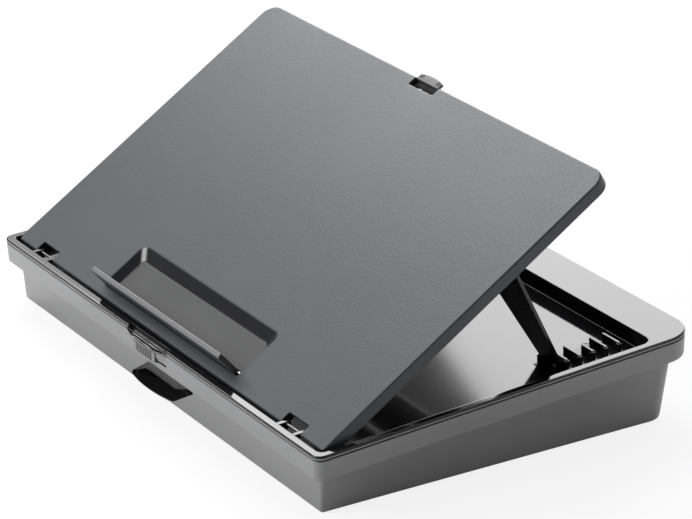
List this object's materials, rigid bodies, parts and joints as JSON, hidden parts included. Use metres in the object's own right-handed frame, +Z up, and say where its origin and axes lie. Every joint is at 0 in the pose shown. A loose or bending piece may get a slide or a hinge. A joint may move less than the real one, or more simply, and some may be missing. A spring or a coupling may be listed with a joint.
{
  "type": "lap desk",
  "caption": "Sloping lap desk: a storage tub with a lift-up tray and a hinged work board that a folding prop holds at an angle; the board has a fold-away paper ledge.",
  "frame": {"origin": "under the middle of the desk, on the surface that it stands on", "axes": "+X to the right as the user sits at it, +Y from the low front edge to the tall rear edge, +Z up"},
  "size_m": [0.39, 0.2913, 0.1797],
  "materials": {
    "tub_plastic": "satin mid-grey moulded plastic",
    "tray_plastic": "glossy near-black moulded plastic",
    "rack_plastic": "satin black moulded plastic",
    "lid_plastic": "fine leather-grain dark grey moulded plastic",
    "ledge_plastic": "satin dark grey moulded plastic",
    "prop_plastic": "satin black moulded plastic",
    "catch_plastic": "satin dark grey moulded plastic",
    "button_plastic": "satin mid-grey moulded plastic",
    "rubber_pads": "matt black rubber",
    "steel": "plain drawn steel"
  },
  "bodies": {
    "base": {"tub": "tub_plastic", "foot_pads": "rubber_pads"},
    "slider": {"slider_button": "button_plastic", "slider_bolt": "steel"},
    "tray_body": {"tray": "tray_plastic", "strike": "tray_plastic", "rack_right": "rack_plastic", "rack_left": "rack_plastic", "rack_screws": "steel", "tray_hinge_pins": "steel"},
    "board": {"lid": "lid_plastic", "lid_hinge_pins": "steel", "prop_rod": "steel", "rod_clips": "steel", "catch_pin": "steel", "catch_spring": "steel"},
    "ledge_body": {"ledge": "ledge_plastic", "ledge_studs": "steel"},
    "prop": {"prop_leg": "prop_plastic"},
    "catch_body": {"catch": "catch_plastic"}
  },
  "joints": [
    {"name": "box_open", "type": "hinge", "parent": "base", "child": "tray_body", "pos_m": [0, 0.14266, 0.05424], "axis": [-1, 0, 0], "range_deg": [0, 75]},
    {"name": "latch_slide", "type": "slide", "parent": "base", "child": "slider", "axis": [1, 0, 0], "range_m": [0, 0.0095]},
    {"name": "lid_tilt", "type": "hinge", "parent": "tray_body", "child": "board", "pos_m": [0, -0.13079, 0.04215], "axis": [1, 0, 0], "range_deg": [0, 76.9]},
    {"name": "prop_fold", "type": "hinge", "parent": "board", "child": "prop", "pos_m": [0, 0.00623, 0.13033], "axis": [1, 0, 0], "range_deg": [-84.6, 0]},
    {"name": "ledge_flip", "type": "hinge", "parent": "board", "child": "ledge_body", "pos_m": [0, -0.12353, 0.04694], "axis": [1, 0, 0], "range_deg": [-98.2, 0]},
    {"name": "catch_press", "type": "hinge", "parent": "board", "child": "catch_body", "pos_m": [0, 0.06468, 0.17153], "axis": [1, 0, 0], "range_deg": [-12, 0], "stiffness_Nm_per_rad": 0.02, "springref_deg": 2.86}
  ],
  "couplings": [
    {"joint": "prop_fold", "follows": "lid_tilt", "ratio": -1.1}
  ]
}
